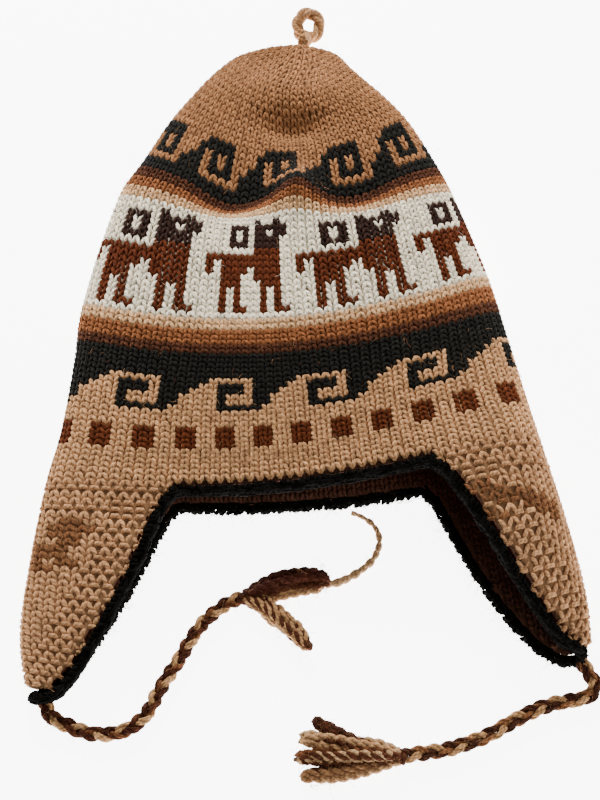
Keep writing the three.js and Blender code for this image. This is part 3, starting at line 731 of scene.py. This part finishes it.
# Ear flaps: the wales of the crown go on down, with ridges at the top and garter stitch at the edges.
# Widths are in stitches. wale is the one at the flap's fold, and motifWale is counted from it.
flap = {"halfWidth": 12.0, "length": 32.4, "taper": 0.6, "flare": 1.5, "flareReach": 1.5,
        "lowest": -32, "mostWales": 20, "ridges": (-2, -5), "garter": 3.2, "edge": -0.95,
        "dipFrom": 0.15, "dip": 1.5, "motifRow": -7}
flapSides = {"left": {"fold": 0.0, "shiftTop": -0.3, "shiftTip": 0.3, "wale": 0, "motifWale": 1},
             "right": {"fold": 0.5, "shiftTop": 0.0, "shiftTip": 0.9, "wale": 48, "motifWale": -9}}
zigzag = {
    "left": (
        "..ZZ.",
        ".ZZZZ",
        ".ZZZ.",
        "..ZZ.",
        "ZZZ..",
        "ZZZ..",
        "Z.ZZ.",
        "ZZ..."),
    "right": (
        "ZZ.....",
        "ZZZ....",
        ".ZZZZ..",
        "..ZZZZ.",
        "ZZ..ZZZ",
        ".ZZ..ZZ",
        "......Z")}


def flapHalf(course):
    return (flap["halfWidth"] * np.maximum(1 + course / flap["length"], 0) ** flap["taper"]
            + flap["flare"] * np.exp(course / flap["flareReach"]))


def flapMiddle(side, course):
    form = flapSides[side]
    down = np.clip(-course / flap["length"], 0, 1)
    return (form["fold"] * knitting["stitchesRound"]
            + form["shiftTop"] + (form["shiftTip"] - form["shiftTop"]) * down)


def makeFlapKnit(side):
    parts = []
    chart = zigzag[side]
    fold = flapSides[side]["wale"]
    start = fold + flapSides[side]["motifWale"]
    wales = np.arange(-flap["mostWales"], flap["mostWales"]) + fold
    for row in range(flap["lowest"], 0):
        places = wales + 0.5
        stands = fractionAt(places, row + 0.5, row) * knitting["stitchesRound"]
        edge = flapHalf(row + 0.5) - np.abs(stands - flapMiddle(side, row + 0.5))
        inside = edge > flap["edge"]
        letters = []
        for wale in wales[inside]:
            down, along = flap["motifRow"] - row, wale - start
            charted = 0 <= down < len(chart) and 0 <= along < len(chart[0])
            letters.append("Z" if charted and chart[down][along] == "Z" else "F")
        colours = np.array([yarnColours[letter] for letter in letters])
        garter = (edge[inside] < flap["garter"]) & (row % 2 == 0)
        isPurl = garter | (row in flap["ridges"])
        chosen = places[inside]
        sink = np.clip(flap["dipFrom"] - edge[inside], 0, None) * flap["dip"]
        if (~isPurl).any():
            parts += rowOfStitches(row, chosen[~isPurl], colours[~isPurl], leg, sink=sink[~isPurl])
        if isPurl.any():
            parts += rowOfStitches(row, chosen[isPurl], colours[isPurl], purl, (1,), sink[isPurl])
    makeObject(f"flap_knit_{side}", parts, wool, [f"ear_flap_{side}"])


makeCrownKnit()
print("crown knit")
for side in ("left", "right"):
    makeFlapKnit(side)
print("flap knit")


# A closed wall between an outer and an inner grid of points, with rims on its open borders.
def wall(outer, inner, closedRound, tint):
    rows, columns = outer.shape[:2]
    ends = columns if closedRound else columns - 1
    out = np.arange(rows * columns).reshape(rows, columns)
    inn = out + rows * columns
    here, there = np.arange(ends), (np.arange(ends) + 1) % columns
    faces = []

    def quads(a, b, c, d):
        faces.append(np.stack(np.broadcast_arrays(a, b, c, d), axis=-1).reshape(-1, 4))

    quads(out[:-1, here], out[:-1, there], out[1:, there], out[1:, here])
    quads(inn[:-1, here], inn[1:, here], inn[1:, there], inn[:-1, there])
    quads(out[0, here], inn[0, here], inn[0, there], out[0, there])
    quads(out[-1, here], out[-1, there], inn[-1, there], inn[-1, here])
    if not closedRound:
        quads(out[:-1, -1], inn[:-1, -1], inn[1:, -1], out[1:, -1])
        quads(out[:-1, 0], out[1:, 0], inn[1:, 0], inn[:-1, 0])
    points = np.concatenate([outer.reshape(-1, 3), inner.reshape(-1, 3)])
    across = np.tile(np.arange(columns), 2 * rows)
    lay = np.stack([np.ones(len(across)), np.zeros(len(across)), across], axis=1)
    return {"points": points, "faces": faces, "tint": np.broadcast_to(tint, points.shape), "lay": lay}


# Backing of the stitches: the yarn that shows between them, in the colours of the chart, darkened
# as painted shade for the shadow that falls between the stitches.
backing = {"outside": 1.55, "inside": 2.9, "shade": 0.42, "rowStep": 1.0,
           "reach": {"front": 0.1, "back": -0.3}}
# courses of the walls where the crown closes, and the grid of a flap's wall
wallTop = (79, 80, 81, 81.6)
flapGrid = {"tip": -32.2, "lowest": -31.5, "rowStep": 1.5, "columns": 25}


def crownWall(outside, inside, rowStep, tints, start=0.0):
    courses = np.append(np.arange(start, wallTop[0], rowStep), wallTop)
    columns = knitting["stitchesRound"]
    outer = hatGrid(courses, columns, outside)[:, :-1]
    inner = hatGrid(courses, columns, inside)[:, :-1]
    return wall(outer, inner, True, tints(courses, columns))


def flapWall(side, outside, inside, tint, top, reach):
    courses = [flapGrid["tip"], *np.arange(flapGrid["lowest"], top, flapGrid["rowStep"]), top]
    across = np.linspace(-1, 1, flapGrid["columns"])
    isFront = across > 0 if side == "left" else across < 0
    beyond = np.where(isFront, reach["front"], reach["back"])
    grids = []
    for inset in (outside, inside):
        rows = []
        for course in courses:
            place = flapMiddle(side, course) + across * (flapHalf(course) + beyond)
            rows.append(roundPoints(course, inset, place / knitting["stitchesRound"]))
        grids.append(np.array(rows))
    return wall(grids[0], grids[1], False, tint)


def paintedShadeBackingTints(courses, columns):
    tints = []
    for course in courses:
        row = int(min(course, knitting["apexCourse"] - 1))
        letters = rowLetters(row)
        count = len(letters)
        places = (np.arange(columns) / columns * count).astype(int) % count
        tints.append([yarnColours[letters[place]] for place in places])
    # the chart's colours darkened as painted shade for the shadow between the stitches
    tints = np.array(tints).reshape(-1, 3) * backing["shade"]
    return np.concatenate([tints, tints])


def makeBacking():
    outside, inside = backing["outside"], backing["inside"]
    crownBacking = crownWall(outside, inside, backing["rowStep"], paintedShadeBackingTints)
    makeObject("crown_backing", [crownBacking], wool)
    # the flaps' tan darkened as painted shade for the shadow between the stitches
    shaded = np.array(yarnColours["F"]) * backing["shade"]
    for side in ("left", "right"):
        flapBacking = flapWall(side, outside, inside, shaded, 0.0, backing["reach"])
        makeObject(f"flap_backing_{side}", [flapBacking], wool)


makeBacking()
print("backing")

# Brown lining, just inside the outer wall. Where it shows, on the back layer, it has stitches that
# face inward.
liningDepth = knitting["outerWall"] + knitting["layerGap"]
lining = {"outside": liningDepth, "inside": liningDepth + knitting["liningWall"], "rowStep": 2.0,
          "colour": linear("5a3a2c"), "reach": {"front": -0.2, "back": 0.4}, "start": -0.6,
          "flapTop": 0.6, "lowest": -31, "highest": 16, "edge": -0.5}


def liningPlaces(row):
    places = np.arange(knitting["stitchesRound"] // 2, knitting["stitchesRound"]) + 0.5
    if row >= 0:
        return places
    stands = fractionAt(places, row + 0.5, row) * knitting["stitchesRound"]
    inside = np.zeros(len(places), bool)
    for side, turn in (("left", knitting["stitchesRound"]), ("right", 0)):
        away = np.abs(stands - flapMiddle(side, row + 0.5) - turn)
        inside |= flapHalf(row + 0.5) - away > lining["edge"]
    return places[inside]


def makeLining():
    parts = [crownWall(lining["outside"], lining["inside"], lining["rowStep"],
                       lambda courses, columns: lining["colour"], lining["start"])]
    for side in ("left", "right"):
        parts.append(flapWall(side, lining["outside"], lining["inside"], lining["colour"],
                              lining["flapTop"], lining["reach"]))
    for row in range(lining["lowest"], lining["highest"]):
        places = liningPlaces(row)
        colours = np.broadcast_to(lining["colour"], (len(places), 3))
        parts += rowOfStitches(row, places, colours, liningLeg)
    makeObject("lining_knit", parts, wool, ["lining"])


makeLining()
print("lining")

# Crocheted edging: loops of black wool wound round the hem, with a chain of stitches outside. Its
# path has eight points to a loop, and wrap is how much of the way round each loop goes.
edging = {"clearance": 1.2, "radius": 3.3, "depth": 3.2, "pitch": 2.6, "pathPoints": 8, "wind": 1.9,
          "wrap": 0.88, "rings": 8, "yarn": 1.4, "ends": 0.6, "flat": 0.95, "slant": 2.6,
          "wander": 0.18, "turn": 0.25, "pucker": 0.12, "colour": linear("0d0c0a"),
          "flapCourses": (-32.4, -31.8, -30, -27, -23, -17.5, -12, -6.5, -3, -1.2, 0), "brimPoints": 9}
# one chain stitch: along the edging in pitches, out from it and across it
chainStitch = {"along": (-1.5, -0.5, 0.8, 1.7), "out": (1.5, 2.4, 2.4, 1.5),
               "across": (0.0, 0.5, 0.9, 0.9), "thick": (0.6, 1.05, 1.05, 0.6), "flat": 0.85,
               "lean": 0.5, "leanBy": 0.25}


# The hem laid out flat as a closed line, in millimetres round the hat and up its courses.
def hemLine():
    rows = np.array(edging["flapCourses"])
    perStitch = knitting["stitchWidth"]
    line = []

    def edge(side, sign, order, shift):
        for course in order:
            place = flapMiddle(side, course) + sign * flapHalf(course) + shift
            line.append((place * perStitch, course * knitting["rowHeight"]))

    def brim(start, end):
        for t in np.linspace(0, 1, edging["brimPoints"])[1:-1]:
            line.append(((start + (end - start) * t) * perStitch, 0.0))

    half = flapHalf(0.0)
    whole = knitting["stitchesRound"]
    brim(flapMiddle("left", 0) + half, flapMiddle("right", 0) - half)
    edge("right", -1, rows[::-1], 0)
    edge("right", 1, rows[1:], 0)
    brim(flapMiddle("right", 0) + half, flapMiddle("left", 0) - half + whole)
    edge("left", -1, rows[::-1], whole)
    edge("left", 1, rows[1:], whole)
    return np.array(line)


def edgingPath():
    flat = hemLine()
    whole = knitting["stitchesRound"] * knitting["stitchWidth"]
    before, after = np.roll(flat, 1, axis=0), np.roll(flat, -1, axis=0)
    before[0, 0] -= whole
    after[-1, 0] += whole
    tangent = unit(after - before)
    outward = np.stack([tangent[:, 1], -tangent[:, 0]], axis=1)
    moved = flat + outward * (edging["radius"] + edging["clearance"])
    points = [roundPoints(y / knitting["rowHeight"], edging["depth"], x / whole) for x, y in moved]
    path = smoothPath(points, edging["pitch"] / edging["pathPoints"], closed=True)
    path[:, 2] = np.maximum(path[:, 2], edging["radius"])
    return path[:-1]


edgingLine = edgingPath()


def makeEdging():
    path = edgingLine
    tangent = unit(np.roll(path, -1, axis=0) - np.roll(path, 1, axis=0))
    side = unit(np.cross([0, 0, 1], tangent))
    over = np.cross(tangent, side)
    rings = edging["rings"]
    turn = np.linspace(-edging["wrap"], edging["wrap"], rings) * math.pi + math.pi
    wound, outs, chain, chainUps = [], [], [], []
    for step in range(0, len(path) - 1, edging["pathPoints"]):
        s, o, t = side[step], over[step], tangent[step]
        centre = path[step] + chance.normal(0, edging["wander"], 3)
        start = turn + chance.normal(0, edging["turn"])
        radial = np.outer(np.cos(start), s) + np.outer(np.sin(start), o)
        slant = np.linspace(-1, 1, rings) * edging["slant"] * chance.uniform(0.7, 1.3)
        bulge = (edging["wind"] * chance.uniform(0.92, 1.06)
                 + edging["pucker"] * np.sin(turn * 2 + chance.uniform(0, 6)))
        wound.append(centre + radial * bulge[:, None] + np.outer(slant, t))
        outs.append(radial)
        for sign in (-1, 1):
            lean = chainStitch["lean"] * sign + chance.normal(0, chainStitch["leanBy"])
            outward = -s * math.cos(lean) + o * math.sin(lean)
            at = np.array(chainStitch["along"]) * chance.uniform(0.8, 1.2)
            rise = np.array(chainStitch["out"]) * chance.uniform(0.9, 1.08)
            sway = np.array(chainStitch["across"]) * sign
            chain.append(centre + np.outer(at * edging["pitch"], t) + np.outer(rise, outward)
                         + np.outer(sway, o))
            chainUps.append(np.broadcast_to(outward, (len(at), 3)))
    swell = chance.uniform(0.8, 1.15, (len(wound), 1))
    radii = np.array([edging["ends"]] + [1.0] * (rings - 2) + [edging["ends"]]) * edging["yarn"] * swell
    colour = np.array(edging["colour"])
    parts = [tubes(np.array(wound), np.array(outs), radii, radii * edging["flat"], 5,
                   colour * chance.uniform(0.7, 1.5, (len(wound), 1)))]
    thick = np.array(chainStitch["thick"]) * chance.uniform(0.8, 1.2, (len(chain), 1))
    parts.append(tubes(np.array(chain), np.array(chainUps), thick, thick * chainStitch["flat"], 5,
                       colour * chance.uniform(0.7, 1.6, (len(chain), 1))))
    makeObject("crochet_edging", parts, darkWool, ["edging"])


makeEdging()
print("edging")

# Loop at the top: three thick plies twisted into a ring on a short stem. Its line goes out from the
# crown, round the ring and back beside itself.
topLoop = {"ringX": 6.6, "ringY": 7.9, "sideways": 4.0, "beyondTop": 17.0, "height": 13.0, "tilt": 0.35,
           "ringPoints": 40, "stemStart": (0.0, 0.5, 0.0), "ringEnd": (-0.8, -1.0, 1.5),
           "stemEnd": (0.6, 1.5, 1.5), "step": 0.9, "plies": 3, "plyRadius": 1.95, "centre": 1.85,
           "pitch": 26.0, "sides": 8, "codes": ("b98a62", "a87a52", "b08258")}


def makeTopLoop():
    top = finePoints[-1, 0]
    centre = top + np.array([topLoop["sideways"], topLoop["beyondTop"], 0])
    centre[2] = topLoop["height"]
    angle = np.linspace(-math.pi / 2, 1.5 * math.pi, topLoop["ringPoints"], endpoint=False)
    tilt = topLoop["tilt"]
    x, y = np.cos(angle) * topLoop["ringX"], np.sin(angle) * topLoop["ringY"]
    ring = centre + np.stack([x, y * math.cos(tilt), y * math.sin(tilt)], axis=1)
    start, low = top + topLoop["stemStart"], ring[0]
    path = smoothPath(np.vstack([start, (start + low) / 2, low, ring[3:-3:2], low + topLoop["ringEnd"],
                                 start + topLoop["stemEnd"]]), topLoop["step"])
    tangent = unit(np.gradient(path, axis=0))
    aside = unit(np.cross(tangent, [0.0, -math.sin(tilt), math.cos(tilt)]))
    part = twisted(path, topLoop["plies"], topLoop["centre"], topLoop["plyRadius"], topLoop["pitch"],
                   [linear(code) for code in topLoop["codes"]], topLoop["sides"],
                   ways=(aside, np.cross(aside, tangent)))
    makeObject("twisted_loop", [part], wool, ["top_loop"])


makeTopLoop()
print("top loop")

# Fuzz: fine fibres that stand off the yarn, lighter than it. Most are short and a few are long.
# Its counts are fibres, and its lengths the shortest and the longest in millimetres.
fuzz = {"radius": 0.12, "tip": 0.35, "shortShare": 2.2, "curl": 1.1, "bend": 0.8, "wander": 0.35,
        "settle": 0.5, "inSight": 0.8, "frontShares": (-0.04, 0.54), "backShares": (0.5, 1),
        "crownRows": 80, "picks": 60, "strayLetters": "TARZMK",
        "crownShade": 1.2, "flapShade": 1.25, "liningShade": 1.6,
        "crown": 5000, "crownLengths": (1.4, 6.0), "crownDepth": 0.4, "crownLift": 0.5,
        "strays": 600, "strayLengths": (3.0, 11.0), "flap": 700, "flapLengths": (1.2, 5.0),
        "lining": 700, "liningLengths": (1.2, 4.0), "liningDepth": 6.5, "liningCourses": (-1, 14),
        "liningShares": (0.55, 0.95), "edging": 2400, "edgingLengths": (1.2, 9.0), "edgingOut": 2.6,
        "free": 230, "tasselLengths": (1.0, 9.0), "tieLengths": (1.0, 6.0), "looseLengths": (1.0, 5.0)}


def fibres(roots, outs, colours, lengths, lift=0.75, steps=2):
    count = len(roots)
    shortest, longest = lengths
    sway = chance.normal(0, 1, (count, 3))
    sway = unit(sway - outs * (sway * outs).sum(axis=1, keepdims=True))
    length = shortest + (longest - shortest) * chance.uniform(0, 1, (count, 1)) ** fuzz["shortShare"]
    way = outs * chance.uniform(0.15, 1.0, (count, 1)) * lift + sway
    curl = chance.normal(0, fuzz["curl"], (count, 3)) * math.sqrt(2 / steps)
    line = [roots]
    for step in range(steps):
        line.append(line[-1] + unit(way) * length / steps)
        way = way + curl * fuzz["bend"] - outs * lift * fuzz["settle"] / steps
        curl = curl + chance.normal(0, fuzz["wander"], (count, 3))
    paths = np.stack(line, axis=1)
    thin = np.linspace(1.0, fuzz["tip"], steps + 1)
    radii = np.broadcast_to(thin * fuzz["radius"], (count, steps + 1))
    ups = np.broadcast_to(outs[:, None] + 0.01, paths.shape)
    return tubes(paths, ups, radii, radii, 3, colours)


# Fibres of the crown, in the colour of their stitch, or as strays in the colours that are given.
def crownFibres(count, strayLetters, lengths, steps):
    rows = chance.integers(0, fuzz["crownRows"], count)
    courses = rows + chance.uniform(0, 1, count)
    shares = np.where(chance.uniform(0, 1, count) < fuzz["inSight"],
                      chance.uniform(*fuzz["frontShares"], count),
                      chance.uniform(*fuzz["backShares"], count))
    picks = chance.integers(0, fuzz["picks"], count)
    fractions, colours = [], []
    for row, course, share, pick in zip(rows, courses, shares, picks):
        letters = rowLetters(row)
        place = share * len(letters)
        own = letters[int(place) % len(letters)]
        colours.append(yarnColours[strayLetters[pick % len(strayLetters)] if strayLetters else own])
        fractions.append(float(fractionAt(place, course, row)))
    point, out = onHat(np.array(fractions), courses)
    tint = np.minimum(np.array(colours) * fuzz["crownShade"] + 0.015, 0.95)
    return fibres(point - out * fuzz["crownDepth"], out, tint, lengths, fuzz["crownLift"], steps)


def flapFibres(side, count, tint, depth, sign):
    courses = (flap["lowest"] + 1) * chance.uniform(0, 1, count) ** 1.2
    places = flapMiddle(side, courses) + flapHalf(courses) * chance.uniform(-0.95, 0.95, count)
    point, out = onHat(places / knitting["stitchesRound"], courses)
    tints = np.broadcast_to(tint, (count, 3))
    return fibres(point - out * depth, out * sign, tints, fuzz["flapLengths"])


# Fibres all round a free strand, most of them near its far end.
def strandFibres(line, radius, code, count, lengths):
    at = (chance.uniform(0, 1, count) ** 0.6 * (len(line) - 1)).astype(int)
    outs = unit(chance.normal(0, 1, (count, 3)))
    tint = np.broadcast_to(linear(code), (count, 3))
    return fibres(line[at] + outs * radius, outs, tint, lengths, 1.0, 3)


def makeFuzz():
    short = crownFibres(fuzz["crown"], None, fuzz["crownLengths"], 2)
    long = crownFibres(fuzz["strays"], fuzz["strayLetters"], fuzz["strayLengths"], 6)
    makeObject("fuzz_crown", [short, long], wool)
    tan = np.array(yarnColours["F"]) * fuzz["flapShade"]
    brown = np.array(lining["colour"]) * fuzz["liningShade"]
    inner = []
    for side in ("left", "right"):
        outer = flapFibres(side, fuzz["flap"], tan, fuzz["crownDepth"], 1)
        makeObject(f"fuzz_flap_{side}", [outer], wool)
        inner.append(flapFibres(side, fuzz["lining"] // 2, brown, fuzz["liningDepth"], -1))
    point, out = onHat(chance.uniform(*fuzz["liningShares"], fuzz["lining"]),
                       chance.uniform(*fuzz["liningCourses"], fuzz["lining"]))
    inner.append(fibres(point - out * fuzz["liningDepth"], -out, np.broadcast_to(brown, point.shape),
                        fuzz["liningLengths"]))
    makeObject("fuzz_lining", inner, wool)
    at = chance.integers(0, len(edgingLine), fuzz["edging"])
    outs = unit(chance.normal(0, 1, (fuzz["edging"], 3)))
    tint = np.array(edging["colour"]) * chance.choice([1.0, 1.0, 4.0], (fuzz["edging"], 1))
    roots = edgingLine[at] + outs * fuzz["edgingOut"]
    black = fibres(roots, outs, tint, fuzz["edgingLengths"], steps=3)
    makeObject("fuzz_edging", [black], darkWool)
    ends = []
    for side in ("left", "right"):
        for lock in locks[side]:
            spine = smoothPath(lock["path"], loopYarn["spineStep"])
            ends.append(strandFibres(spine, lock["radius"], "8a6342", fuzz["free"] // 2,
                                     fuzz["tasselLengths"]))
        ends.append(strandFibres(smoothPath(routes[side], 2.0), 3.0, "9a7350", fuzz["free"],
                                 fuzz["tieLengths"]))
    ends.append(strandFibres(smoothPath(routes["loose"], 1.0), 1.3, "c29d76", fuzz["free"] // 2,
                             fuzz["looseLengths"]))
    makeObject("fuzz_ties", ends, wool)


makeFuzz()
print("fuzz")

# Ground and light: a white studio table that gives off light of its own, so that it shows as white
# as the photograph's ground, with a key light, a soft fill and a dim white room.
studio = {"ground": 3.0, "groundColour": (0.97, 0.97, 0.97, 1.0), "roughness": 0.9, "glow": 8.0,
          "keyPower": 60.0, "keySize": 0.6, "keyPlace": (-0.3, 1.35, 0.85), "fillPower": 16.0,
          "fillSize": 1.4, "fillPlace": (0.9, -0.7, 1.0), "room": 0.15}


def addLight(name, place, size, power):
    data = bpy.data.lights.new(name, "AREA")
    data.shape = "DISK"
    data.size = size
    data.energy = power
    light = bpy.data.objects.new(name, data)
    light.location = place
    light.rotation_mode = "QUATERNION"
    light.rotation_quaternion = (-Vector(place)).to_track_quat("-Z", "Y")
    bpy.context.scene.collection.objects.link(light)


def makeStudio():
    grid = bmesh.new()
    bmesh.ops.create_grid(grid, x_segments=1, y_segments=1, size=studio["ground"])
    mesh = bpy.data.meshes.new("ground")
    grid.to_mesh(mesh)
    grid.free()
    material = bpy.data.materials.new("white table")
    material.use_nodes = True
    shader = material.node_tree.nodes["Principled BSDF"]
    shader.inputs["Base Color"].default_value = studio["groundColour"]
    shader.inputs["Roughness"].default_value = studio["roughness"]
    shader.inputs["Emission Color"].default_value = studio["groundColour"]
    shader.inputs["Emission Strength"].default_value = studio["glow"]
    mesh.materials.append(material)
    ground = bpy.data.objects.new("ground", mesh)
    bpy.context.scene.collection.objects.link(ground)
    addLight("key", studio["keyPlace"], studio["keySize"], studio["keyPower"])
    addLight("fill", studio["fillPlace"], studio["fillSize"], studio["fillPower"])
    world = bpy.data.worlds.new("room")
    world.use_nodes = True
    air = world.node_tree.nodes["Background"]
    air.inputs["Color"].default_value = (1.0, 1.0, 1.0, 1.0)
    air.inputs["Strength"].default_value = studio["room"]
    bpy.context.scene.world = world


makeStudio()
print("studio")
